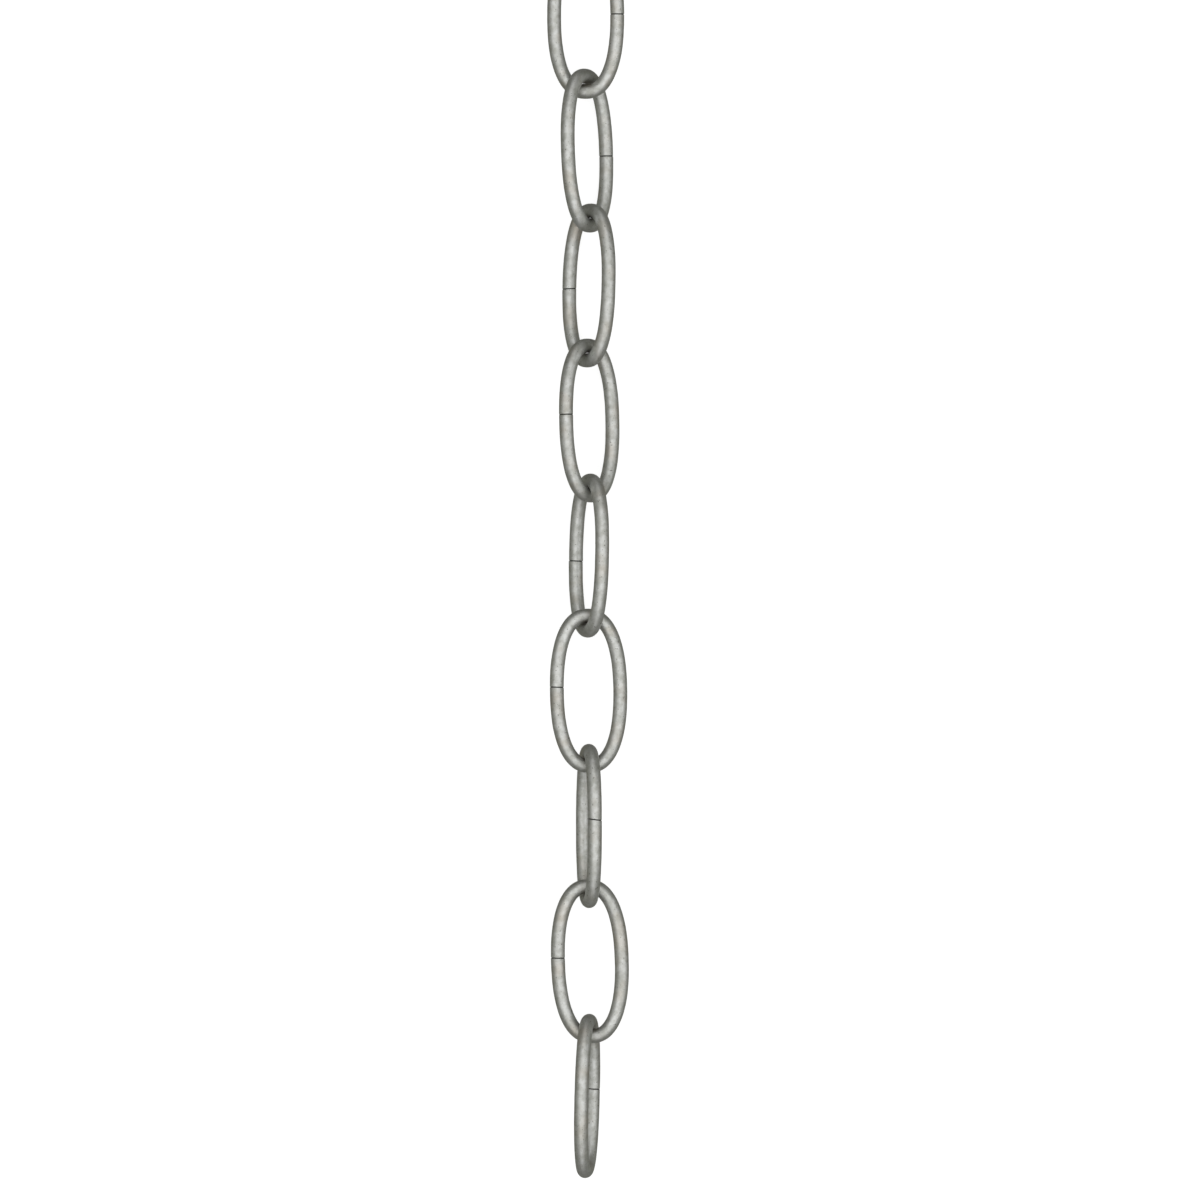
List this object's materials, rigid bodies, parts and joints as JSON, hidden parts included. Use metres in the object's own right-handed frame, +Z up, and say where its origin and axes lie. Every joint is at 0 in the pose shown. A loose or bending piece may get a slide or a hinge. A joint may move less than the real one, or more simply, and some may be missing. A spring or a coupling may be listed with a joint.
{
  "type": "length of oval-link chain",
  "caption": "Straight run of plain oval steel chain links bent from round wire, with open butt seams, lying on the floor.",
  "frame": {"origin": "middle of the run in plan, on the floor that the chain lies on", "axes": "+Y along the chain towards the end that it hangs from, +X to the right as the picture shows it, +Z up out of the picture"},
  "size_m": [0.0188, 0.3192, 0.0176],
  "materials": {
    "galvanised_steel": "dull galvanised, finely mottled grey"
  },
  "bodies": {
    "link_01": {"link_01": "galvanised_steel"},
    "link_02": {"link_02": "galvanised_steel"},
    "link_03": {"link_03": "galvanised_steel"},
    "link_04": {"link_04": "galvanised_steel"},
    "link_05": {"link_05": "galvanised_steel"},
    "link_06": {"link_06": "galvanised_steel"},
    "link_07": {"link_07": "galvanised_steel"},
    "link_08": {"link_08": "galvanised_steel"},
    "link_09": {"link_09": "galvanised_steel"},
    "link_10": {"link_10": "galvanised_steel"}
  },
  "joints": [
    {"name": "hinge_02", "type": "hinge", "parent": "link_01", "child": "link_02", "pos_m": [-0.00055, 0.12321, 0.00856], "axis": [0, 0, 1], "range_deg": [-90, 90]},
    {"name": "hinge_03", "type": "hinge", "parent": "link_02", "child": "link_03", "pos_m": [-0.00085, 0.09567, 0.00752], "axis": [0, 0, 1], "range_deg": [-15, 15]},
    {"name": "hinge_04", "type": "hinge", "parent": "link_03", "child": "link_04", "pos_m": [0.0004, 0.06263, 0.00747], "axis": [0, 0, -1], "range_deg": [-15, 15]},
    {"name": "hinge_05", "type": "hinge", "parent": "link_04", "child": "link_05", "pos_m": [-0.00012, 0.03096, 0.00742], "axis": [0, 0, 1], "range_deg": [-15, 15]},
    {"name": "hinge_06", "type": "hinge", "parent": "link_05", "child": "link_06", "pos_m": [0.00053, 0.00101, 0.00833], "axis": [0, 0, -1], "range_deg": [-15, 15]},
    {"name": "hinge_07", "type": "hinge", "parent": "link_06", "child": "link_07", "pos_m": [-0.00011, -0.03288, 0.00833], "axis": [0, 0, 1], "range_deg": [-15, 15]},
    {"name": "hinge_08", "type": "hinge", "parent": "link_07", "child": "link_08", "pos_m": [0.00015, -0.06073, 0.00871], "axis": [0, 0, -1], "range_deg": [-90, 90]},
    {"name": "hinge_09", "type": "hinge", "parent": "link_08", "child": "link_09", "pos_m": [0.00015, -0.09548, 0.00871], "axis": [0, 0, 1], "range_deg": [-90, 90]},
    {"name": "hinge_10", "type": "hinge", "parent": "link_09", "child": "link_10", "pos_m": [0.00014, -0.12322, 0.00885], "axis": [0, 0, -1], "range_deg": [-90, 90]}
  ]
}
